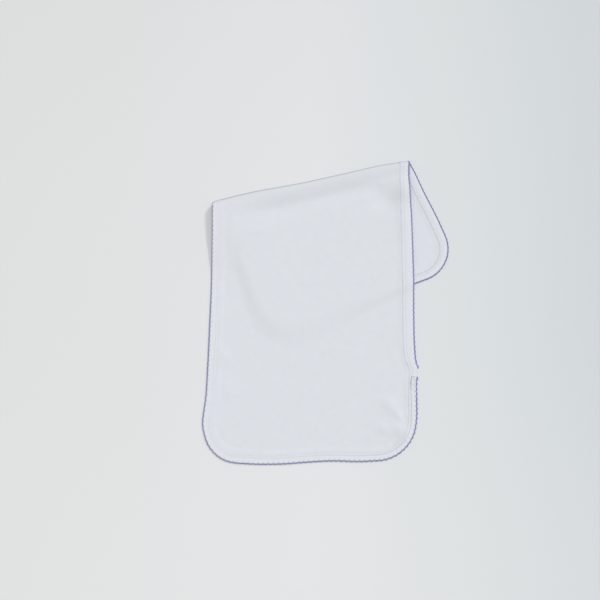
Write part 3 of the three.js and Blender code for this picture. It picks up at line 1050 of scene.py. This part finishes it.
@dataclass
class EdgeBinding(Piece):
    """The knit strip wrapped round the edge and drawn in by its stitches.

    Its two ends, and the edging's, are given by their v on the right side.
    """

    outer: float = 0.9
    inner: float = 11.2
    wall: float = 0.34
    rim_bulge: float = 0.8
    upper_end: float = 93.0
    lower_end: float = 92.6
    section_step: float = 0.95
    stitch_rows: tuple[float, float] = (7.0, 10.3)
    stitch_pitch: float = 3.0
    needle_swing: float = 0.2
    groove: float = 0.23
    groove_width: float = 0.62
    groove_half: float = 0.9
    groove_shade: float = 0.19
    bend_shade: float = 0.6
    edging_end: float = 110.0
    edging_start: float = 100.5
    shell_pitch: float = 5.9
    puff: float = 0.042
    puff_depth: float = 1.9
    puff_width: float = 2.4
    soft_waves: Waves = ((17.3, 0.5, 0.5), (41.0, 2.0, 0.6), (9.1, 1.0, 0.3))
    soft_front: float = 0.05
    soft_reverse: float = 0.015
    cover_press: float = 0.14
    cover_reach: float = 1.6
    roll_width: float = 0.6
    roll_drop: float = 0.22
    past_row_points: int = 9
    row_points: int = 7
    rim_points: int = 6
    bend_points: int = 9
    inside_points: int = 4

    @property
    def past_row(self) -> float:
        """How far the strip reaches past its inner row of stitches."""
        return self.inner - self.stitch_rows[1]

    def row(self, distance: Array, number: int) -> Array:
        """Depth of a row of stitches, which wanders along the edge as the strip was guided by hand."""
        wander = self.flat.along_rim(ROW_SHIFT, distance)
        return self.stitch_rows[number] + wander + number * self.flat.along_rim(ROW_GAP, distance)

    def shells(self) -> tuple[float, float, int]:
        """Finds how the edging's shells are spaced along the outline.

        Returns:
            Where the edging starts, its length, and its number of shells.
        """
        length = self.flat.round - (self.edging_end - self.edging_start)
        return self.flat.distance_of(self.edging_end), length, round(length / self.shell_pitch)

    def needle_lines(self, distance: Array, depth: Array) -> Array:
        """Nearness to either row of stitches, a bell curve across each, by the row's strength there.

        Args:
            distance: Lengths round the outline.
            depth: Depths in from it.

        Returns:
            The nearness, about 1 on a row.
        """
        lean = self.flat.along_rim(ROW_LEAN, distance)
        outer, inner = (bell((depth - self.row(distance, number)) / self.groove_width) for number in (0, 1))
        return self.flat.along_rim(ROW_STRENGTH, distance) * ((1 + lean) * outer + (1 - lean) * inner)

    def skin(self, distance: Array, depth: Array, side: Side) -> Array:
        """Height of the strip's outer skin over the middle of the cloth.

        It is the strip's half thickness, lowered by a bell-shaped groove along each row of stitches that
        is deeper at each needle hole, with a shallow pillow between shells near the rim. On the reverse the
        loops between the rows press it in by one more bell curve. Its inner edge rolls down.

        Args:
            distance: Lengths round the outline.
            depth: Depths in from it.
            side: Which face.

        Returns:
            Heights, as positive numbers on both faces.
        """
        hole = 1 - self.needle_swing + self.needle_swing * np.cos(2 * np.pi * distance / self.stitch_pitch)
        height = self.laid.strip_half - self.groove * hole * self.needle_lines(distance, depth)
        first, length, count = self.shells()
        shell = np.cos(2 * np.pi * count * (distance - first) / length)
        pillow = self.puff * self.flat.along_rim(BITE_LENGTH, distance) * shell
        height = height - pillow * bell((depth - self.puff_depth) / self.puff_width)
        soft = self.soft_front if side is Side.FRONT else self.soft_reverse
        height = height + soft * ripple(distance, self.soft_waves)
        if side is Side.REVERSE:
            middle = (self.row(distance, 0) + self.row(distance, 1)) / 2
            height = height - self.cover_press * bell((depth - middle) / self.cover_reach)
        roll_start = self.row(distance, 1) + self.past_row - self.roll_width
        return height - self.roll_drop * np.clip((depth - roll_start) / self.roll_width, 0, 1) ** 2

    def build(self, finish: Material) -> Object:
        """Carries the folded profile of the strip round the outline.

        The profile runs down the front skin, round the rim as half an ellipse, along the reverse skin,
        and back inside at the wall's thickness.

        Args:
            finish: The strip's knit.

        Returns:
            The strip.
        """
        flat = self.flat
        first, last = flat.distance_of(self.upper_end), flat.distance_of(self.lower_end) + flat.round
        s = np.linspace(first, last, int((last - first) / self.section_step))[:, None]
        start = self.outer + self.rim_bulge
        outer_row, inner_row = self.row(s, 0), self.row(s, 1)
        edge = inner_row + self.past_row
        past_groove = self.past_row + self.groove_half
        below_groove = outer_row - self.groove_half
        skin_depth = np.concatenate([
            edge - past_groove * np.linspace(0, 1, self.past_row_points),
            (inner_row + outer_row) / 2,
            outer_row + self.groove_half * np.linspace(1, -1, self.row_points),
            below_groove + (start - below_groove) * np.linspace(0, 1, self.rim_points)[1:],
        ], axis=1)
        front = self.skin(s, skin_depth, Side.FRONT)
        back = self.skin(s, skin_depth, Side.REVERSE)
        bend = np.linspace(0, math.pi, self.bend_points)[1:-1]
        rim_depth = start - self.rim_bulge * np.sin(bend) + 0 * s
        inside_depth = start + (edge - start) * np.linspace(0, 1, self.inside_points)
        inside = np.full_like(inside_depth, self.laid.strip_half - self.wall)
        depth = np.concatenate([
            skin_depth, rim_depth, skin_depth[:, ::-1], inside_depth[:, ::-1], inside_depth,
        ], axis=1)
        height = np.concatenate([
            front, front[:, -1:] * np.cos(bend), -back[:, ::-1], -inside, inside,
        ], axis=1)
        # Painted shade along the rows of stitches and round the fold's bend
        bend_shade_share = self.laid.painted_bend_shade(*flat.rim(s, depth))
        painted_shade = self.groove_shade * self.needle_lines(s, depth) + self.bend_shade * bend_shade_share
        faces = grid_faces(len(s), depth.shape[1], True)
        uv = depth * METRES, s * METRES
        return make_mesh("edge_strip", self.on_rim(s, depth, height), faces, uv, finish, painted_shade)


@dataclass
class StripLap(Piece):
    """The cut end of the strip, which rises out of it and lies over its other end.

    Where it starts and ends is given by v on the right side.
    """

    binding: EdgeBinding
    start: float = 78.0
    end: float = 100.5
    outer: float = 0.9
    inner: float = 6.9
    sections: int = 72
    sides: int = 28
    climb: float = 0.6
    squareness: float = 0.3
    crown: float = 0.5
    crown_extra: float = 0.05
    sunk: float = 1.1
    lift: float = 2.1
    fold: float = 0.3
    fold_slant: float = 0.3
    fold_depth: float = 3.2
    fold_width: float = 2.4
    shade: float = 0.75
    fold_shade: float = 0.35
    cut_width: float = 0.7
    cut_reach: float = 4.0
    side_width: float = 0.5

    @property
    def span(self) -> tuple[float, float]:
        """Distances round the outline at which the lap starts and ends, a whole way round on."""
        return tuple(self.flat.distance_of(v) + self.flat.round for v in (self.start, self.end))

    def rise(self, distance: Array) -> Array:
        """How far the lapped end has risen on to the strip, from 0 to 1, as half a cosine wave."""
        return ease((distance - self.span[0]) / (self.climb * (self.end - self.start)))

    def folds(self, distance: Array, depth: Array) -> Array:
        """Slanting folds across the lapped end, a cosine in step with the shells that fades inwards.

        Args:
            distance: Lengths round the outline.
            depth: Depths in from it.

        Returns:
            The folds' height, from -1 to 1.
        """
        first, length, count = self.binding.shells()
        phase = count * (distance + self.fold_slant * depth - first) / length
        return np.cos(2 * np.pi * phase) * bell((depth - self.fold_depth) / self.fold_width)

    def skin(self, distance: Array, depth: Array, turn: float | Array) -> Array:
        """Height of the lapped end's skin over the middle of the cloth.

        It starts sunk in the strip and is lifted on to it as it rises. Its section's height is a small
        power of the turn's sine, and the folds lie on its upper half.

        Args:
            distance: Lengths round the outline.
            depth: Depths in from it.
            turn: Turn round the section, a quarter turn being its top.

        Returns:
            The heights.
        """
        rise, n, wall = self.rise(distance), np.sin(turn), self.binding.wall
        height = self.laid.strip_half - self.sunk * wall + self.lift * wall * rise
        height = height + (wall / 2 + self.crown_extra) * power_of(n, self.crown)
        return height + self.fold * self.folds(distance, depth) * (n > 0) * rise

    def build(self, finish: Material) -> Object:
        """Carries a rounded bar, as wide as the strip outside its first row, along the lap.

        The section's depth is a small power of the turn's cosine. The cut, the inner side and the folds'
        hollows are painted darker, as shade.

        Args:
            finish: The strip's knit.

        Returns:
            The lapped end.
        """
        distance = np.linspace(*self.span, self.sections)[:, None]
        turn = np.linspace(0, 2 * math.pi, self.sides, endpoint=False)[None, :]
        middle, half = (self.outer + self.inner) / 2, (self.inner - self.outer) / 2
        depth = middle + half * power_of(np.cos(turn), self.squareness) + 0 * distance
        points = self.on_rim(distance, depth, self.skin(distance, depth, turn))
        # Painted shade at the cut end, along the inner side and in the folds' hollows
        cut = bell((distance - distance[-1]) / self.cut_width) * (depth > self.inner - self.cut_reach)
        rise = self.rise(distance)
        side = bell((depth - self.inner) / self.side_width) * rise
        hollows = self.fold_shade * np.clip(-self.folds(distance, depth), 0, 1) * rise
        painted_shade = self.shade * np.clip(np.maximum(cut, side) + hollows, 0, 1)
        uv = depth * METRES, distance * METRES
        return make_mesh("strip_lap", points, tube_faces(*depth.shape), uv, finish, painted_shade)


def tube_points(centre: Array, radius: Array, sides: int) -> tuple[Array, Array]:
    """Round tubes along many short paths at once.

    Around each path point a ring is drawn in the plane across the path. The ring's first axis is the
    cross product of the path's direction and up, or of the direction and across where it is upright.

    Args:
        centre: Path points, one path a row, with x, y and z last.
        radius: Radius at each path point.
        sides: Number of points in a ring.

    Returns:
        The ring points, and the share of a turn of each.
    """
    upright = 0.9
    along = np.gradient(centre, axis=-2)
    along /= np.linalg.norm(along, axis=-1, keepdims=True)
    steep = np.abs(along[..., 2:]) > upright
    up = np.where(steep, np.array([1.0, 0.0, 0.0]), np.array([0.0, 0.0, 1.0]))
    first = np.cross(along, up)
    first /= np.linalg.norm(first, axis=-1, keepdims=True)
    second = np.cross(first, along)
    share = np.arange(sides) / sides
    turn = 2 * np.pi * share
    ring = first[..., None, :] * np.cos(turn)[:, None] + second[..., None, :] * np.sin(turn)[:, None]
    return centre[..., None, :] + ring * radius[..., None, None], share


def tubes(name: str, centre: Array, radius: Array, sides: int, finish: Material) -> Object:
    """Makes one mesh of many closed tubes.

    Args:
        name: The piece's name.
        centre: Path points in the row frame, one path a row.
        radius: Radius at each path point.
        sides: Number of points in a ring, an even number.
        finish: The thread.

    Returns:
        The piece.
    """
    points, share = tube_points(centre, radius, sides)
    count, steps = centre.shape[:2]
    one = tube_faces(steps, sides)[:, ::-1]
    faces = (one[None] + np.arange(count)[:, None, None] * steps * sides).reshape(-1, 4)
    length = np.linalg.norm(np.diff(centre, axis=1), axis=-1).cumsum(axis=1)
    length = np.concatenate([np.zeros((count, 1)), length], axis=1)
    return make_mesh(name, points, faces, (length[..., None] * METRES, share), finish)


@dataclass
class Stitching(Piece):
    """The white thread that holds the strip: two straight rows in front, and cross loops behind."""

    binding: EdgeBinding
    thread: float = 0.2
    sides: int = 6
    end_margin: float = 1.5
    stitch: float = 2.45
    stitch_points: int = 6
    arch_rise: float = 1.3
    arch_sunk: float = 0.9
    arch_power: float = 0.5
    end_thickness: float = 0.55
    loop_points: int = 9
    loop_overlap: float = 1.15
    loop_thickness: float = 0.8
    loop_rise: float = 0.04

    def starts(self) -> Array:
        """Where the stitches start, evenly spaced between the strip's ends.

        Returns:
            Distances round the outline.
        """
        first = self.flat.distance_of(self.binding.upper_end) + self.end_margin
        last = self.flat.distance_of(self.binding.lower_end) + self.flat.round - self.end_margin
        return np.linspace(first, last, int((last - first) / self.binding.stitch_pitch), endpoint=False)

    def build_rows(self, finish: Material) -> Object:
        """Lays each straight stitch in its groove as a short arch whose ends dip into the strip.

        Args:
            finish: The white thread.

        Returns:
            Both rows of stitches as one piece.
        """
        share = np.linspace(0, 1, self.stitch_points)
        wave = np.sin(np.pi * share)
        s = np.concatenate([self.starts()[:, None] + share * self.stitch] * 2)
        depth = np.concatenate([self.binding.row(half, number) for number, half in enumerate(np.split(s, 2))])
        surface = self.binding.skin(s, depth, Side.FRONT)
        arch = self.arch_rise * wave**self.arch_power - self.arch_sunk
        centre = self.on_rim(s, depth, surface + self.thread * arch)
        radius = self.thread * (self.end_thickness + (1 - self.end_thickness) * wave) + 0 * s
        return tubes("front_stitches", centre, radius, self.sides, finish)

    def build_cover(self, finish: Material) -> Object:
        """Lays the loops that cross between the two rows on the reverse, as a row of S-shaped threads.

        Each thread runs from one row to the other and back, a cosine across and a line along.

        Args:
            finish: The white thread.

        Returns:
            The cover stitches as one piece.
        """
        share = np.linspace(0, 1, self.loop_points)
        s = self.starts()[:, None] + share * self.binding.stitch_pitch * self.loop_overlap
        low, high = self.binding.row(s, 0), self.binding.row(s, 1)
        depth = (low + high) / 2 - (high - low) / 2 * np.cos(2 * np.pi * share)
        radius = self.thread * self.loop_thickness
        height = self.laid.strip_half + self.loop_rise * np.sin(np.pi * share) - radius
        centre = self.on_rim(s, depth, -height)
        return tubes("cover_stitches", centre, radius + 0 * s, self.sides, finish)


@dataclass
class ShellEdging(Piece):
    """The lavender edging: thread wrapped closely along the rim, drawn in at every shell."""

    binding: EdgeBinding
    lap: StripLap
    wraps: int = 8
    section_step: float = 0.25
    sides: int = 10
    radius: float = 0.72
    start_swell: float = 0.45
    start_length: float = 5.0
    shell_swell: float = 0.2
    wrap_swell: float = 0.1
    flatness: float = 0.92
    inset: float = 0.15
    swing_balance: float = 0.35
    bite_start: float = 0.6
    bite_on_skin: float = 1.9
    bite_lean: float = 0.35
    bite_sides: int = 6
    bite_points: int = 8
    bite_thread: float = 0.34
    bite_tip: float = 0.14
    bite_rim_height: float = 0.35
    bite_over_rim: float = 0.3
    bite_dip: float = 0.3
    bite_dip_share: float = 0.2
    reverse_sunk: float = 0.26

    def build_rim(self, finish: Material) -> Object:
        """Carries a ring of points along the rim, swollen by each wrap of the thread.

        The middle of the ring swings in at the end of each shell by the absolute value of a sine, and the
        radius shrinks there and swells by a small sine for each wrap, which slants round the ring. The
        more it swings in, the further out its shells lie.

        Args:
            finish: The lavender thread.

        Returns:
            The wrapped rim.
        """
        first, length, shells = self.binding.shells()
        along = np.linspace(0, 1, int(length / self.section_step))[:, None]
        distance = first + along * length
        out = np.abs(np.sin(np.pi * along * shells))
        turn = np.linspace(0, 2 * np.pi, self.sides, endpoint=False)[None, :]
        wrap = np.abs(np.sin(np.pi * (along * shells * self.wraps + turn / (2 * np.pi))))
        thread = self.radius + self.start_swell * bell((1 - along) * length / self.start_length)
        shell = 1 - self.shell_swell + self.shell_swell * out
        radius = self.flat.along_rim(THREAD_FULLNESS, distance) * thread * shell + self.wrap_swell * wrap
        swing = self.flat.along_rim(RIM_SWING, distance)
        middle = self.inset + swing * (1 - out) - self.swing_balance * (swing - self.swing_balance)
        depth = middle - radius * np.cos(turn)
        height = np.minimum(self.flatness * radius, self.laid.strip_half) * np.sin(turn)
        points = self.on_rim(distance, depth, height)
        uv = distance * METRES, turn / (2 * np.pi)
        # Painted shade: the thread's colour turns darker where THREAD_SHADE says
        shade = self.flat.along_rim(THREAD_SHADE, distance)
        return make_mesh("shell_rim", points, tube_faces(*depth.shape), uv, finish, shade)

    def build_bites(self, finish: Material) -> Object:
        """Lays the long thread at the end of each shell over both faces of the strip.

        Each runs straight in from the rim on the strip's skin, or the lap's where that is higher, and
        dips into it at its end.

        Args:
            finish: The lavender thread.

        Returns:
            All these threads as one piece.
        """
        first, length, shells = self.binding.shells()
        s = (first + length * np.arange(1, shells) / shells)[:, None]
        share = np.linspace(0, 1, self.bite_points)
        depth = self.bite_start + (self.flat.along_rim(BITE_LENGTH, s) - self.bite_start) * share
        over_rim = self.bite_rim_height + (1 - self.bite_rim_height) * ease(share / self.bite_over_rim)
        dip = self.bite_dip * ease((share - (1 - self.bite_dip_share)) / self.bite_dip_share)
        centres = []
        for side in Side:
            skin = self.binding.skin(s, np.maximum(depth, self.bite_on_skin), side)
            if side is Side.FRONT:
                on_lap = (s > self.lap.span[0]) & (depth > self.lap.outer)
                skin = np.maximum(skin, on_lap * self.lap.skin(s, depth, math.pi / 2))
            else:
                skin = np.minimum(skin, self.laid.strip_half - self.reverse_sunk)
            lean = side.value * self.bite_lean * share
            centres.append(self.on_rim(s + lean, depth, side.value * (skin * over_rim - dip)))
        centre = np.concatenate(centres)
        radius = self.bite_thread + (self.bite_tip - self.bite_thread) * share + 0 * centre[..., 0]
        return tubes("shell_bites", centre, radius, self.bite_sides, finish)


@dataclass
class Studio:
    """Pale floor, weak light all round, a wide soft box overhead, low window light, and the camera."""

    offset: Array
    floor_size: float = 6.0
    floor_drop: float = 0.08
    sky_colour: Colour = (0.98, 0.99, 1.0)
    sky_strength: float = 0.41
    box_size: float = 1.6
    box_power: float = 16.0
    box_colour: Colour = (1.0, 0.99, 0.98)
    box_place: tuple[float, float, float] = (-0.1, 0.0, 1.9)
    window_power: float = 1.15
    window_colour: Colour = (0.97, 0.99, 1.0)
    window_spread: float = math.radians(9)
    window_turn: float = math.radians(45)
    window_height: float = math.radians(35)
    camera_place: tuple[float, float, float] = (-12.9, 58.9, 722.85)
    camera_tilt: float = math.radians(10.5)
    camera_turn: float = math.radians(0.4)
    lens: float = 36.0
    sensor: float = 36.0
    nearest: float = 0.01

    def build_floor(self) -> Object:
        """Builds the floor as one flat square just under the cloth.

        Returns:
            The floor.
        """
        half = self.floor_size / 2 / METRES
        x, y = half * np.array([(-1, 1, 1, -1), (-1, -1, 1, 1)])
        corners = np.stack([x, y, np.full(4, -self.floor_drop)], axis=-1)
        uv = x * METRES, y * METRES
        floor = make_mesh("floor", corners, np.array([[0, 1, 2, 3]]), uv, PaleFloorWithPaintedLight().material())
        return floor

    def build_lights(self) -> None:
        """Adds weak light from all round, a wide soft box overhead, and a low window light from the right."""
        world = bpy.data.worlds.new("studio")
        world.use_nodes = True
        background = world.node_tree.nodes["Background"]
        background.inputs["Color"].default_value = (*self.sky_colour, 1.0)
        background.inputs["Strength"].default_value = self.sky_strength
        bpy.context.scene.world = world
        box = bpy.data.lights.new("soft_box", "AREA")
        box.shape, box.size, box.energy, box.color = "SQUARE", self.box_size, self.box_power, self.box_colour
        window = bpy.data.lights.new("window", "SUN")
        window.angle, window.energy, window.color = self.window_spread, self.window_power, self.window_colour
        turn, height = self.window_turn, self.window_height
        level = math.cos(height)
        low = Vector((math.cos(turn) * level, math.sin(turn) * level, math.sin(height)))
        for lamp, place in ((box, Vector(self.box_place)), (window, low)):
            holder = bpy.data.objects.new(lamp.name, lamp)
            holder.location = place
            holder.rotation_euler = (-place).to_track_quat("-Z", "Y").to_euler()
            bpy.context.scene.collection.objects.link(holder)

    def build_camera(self) -> Object:
        """Sets the camera almost straight above the cloth, as in the picture it follows.

        Returns:
            The camera.
        """
        data = bpy.data.cameras.new("camera")
        data.lens, data.sensor_width, data.clip_start = self.lens, self.sensor, self.nearest
        camera = bpy.data.objects.new("camera", data)
        camera.location = (np.array(self.camera_place) - self.offset) * METRES
        camera.rotation_euler = Euler((self.camera_tilt, 0, self.camera_turn))
        bpy.context.scene.collection.objects.link(camera)
        bpy.context.scene.camera = camera
        return camera


def find_offset(laid: LaidCloth, panel_edge: float) -> Array:
    """Where the row frame's origin lies on the floor as laid out here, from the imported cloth's box.

    Args:
        laid: The laid cloth.
        panel_edge: Depth of the knit cloth's own edge.

    Returns:
        x, y and z to take off every point.
    """
    samples = 6000
    distance = np.linspace(0, laid.flat.round, samples)
    edge = laid.middle(*laid.flat.rim(distance, np.full_like(distance, panel_edge)))
    low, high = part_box("cloth_panel")
    centre = (np.array(low) + np.array(high)) / 2 / METRES
    found = (edge.min(axis=0) + edge.max(axis=0)) / 2 - centre
    return np.array([found[0], found[1], 0.0])


def main() -> None:
    logging.basicConfig(level=logging.INFO, format="%(name)s %(message)s")
    bpy.context.scene.view_settings.view_transform = "Standard"
    laid = LaidCloth()
    offset = find_offset(laid, ClothPanel.edge)
    LOG.info("offset %s", offset.round(3))

    knit = KnitFinish("cotton_interlock_knit", "E3E5EA", "DBDEE4", "8E939E", rib=0.9, row=0.75, depth=0.08)
    strip_knit = KnitFinish(
        "fine_rib_strip", "E5E7EC", "DDE0E6", "8E939E", rib=0.7, row=0.6, depth=0.06, mottle=5.0
    )
    white = ThreadFinish("white_spun_thread", "EDF0F6", "D5D9E4", "8E939E", twist=0.6)
    lavender = ThreadFinish("lavender_spun_thread", "9797C6", "7879AF", "4A5474", twist=0.55)
    strip_finish, white_finish, lavender_finish = strip_knit.material(), white.material(), lavender.material()

    binding = EdgeBinding(laid, offset)
    strip_lap = StripLap(laid, offset, binding)
    stitching = Stitching(laid, offset, binding)
    edging = ShellEdging(laid, offset, binding, strip_lap)

    cloth = ClothPanel(laid, offset).build(knit.material())
    strip = binding.build(strip_finish)
    lap = strip_lap.build(strip_finish)
    rows = stitching.build_rows(white_finish)
    cover = stitching.build_cover(white_finish)
    rim = edging.build_rim(lavender_finish)
    bites = edging.build_bites(lavender_finish)

    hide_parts("cloth_panel")
    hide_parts("edge_binding")
    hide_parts("picot_edging")
    slots = {
        "white_knit": [cloth],
        "white_binding": [strip, lap, rows, cover],
        "lavender_thread": [rim, bites],
    }
    for slot, pieces in slots.items():
        for piece in pieces:
            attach(piece, "root")
            LOG.info("%s: %d faces", piece.name, len(piece.data.polygons))
    laid.flat.width * METRES
    laid.flat.length * METRES
    laid.flat.area * METRES**2

    studio = Studio(offset)
    studio.build_floor()
    studio.build_lights()
    studio.build_camera()


if __name__ == "__main__":
    main()
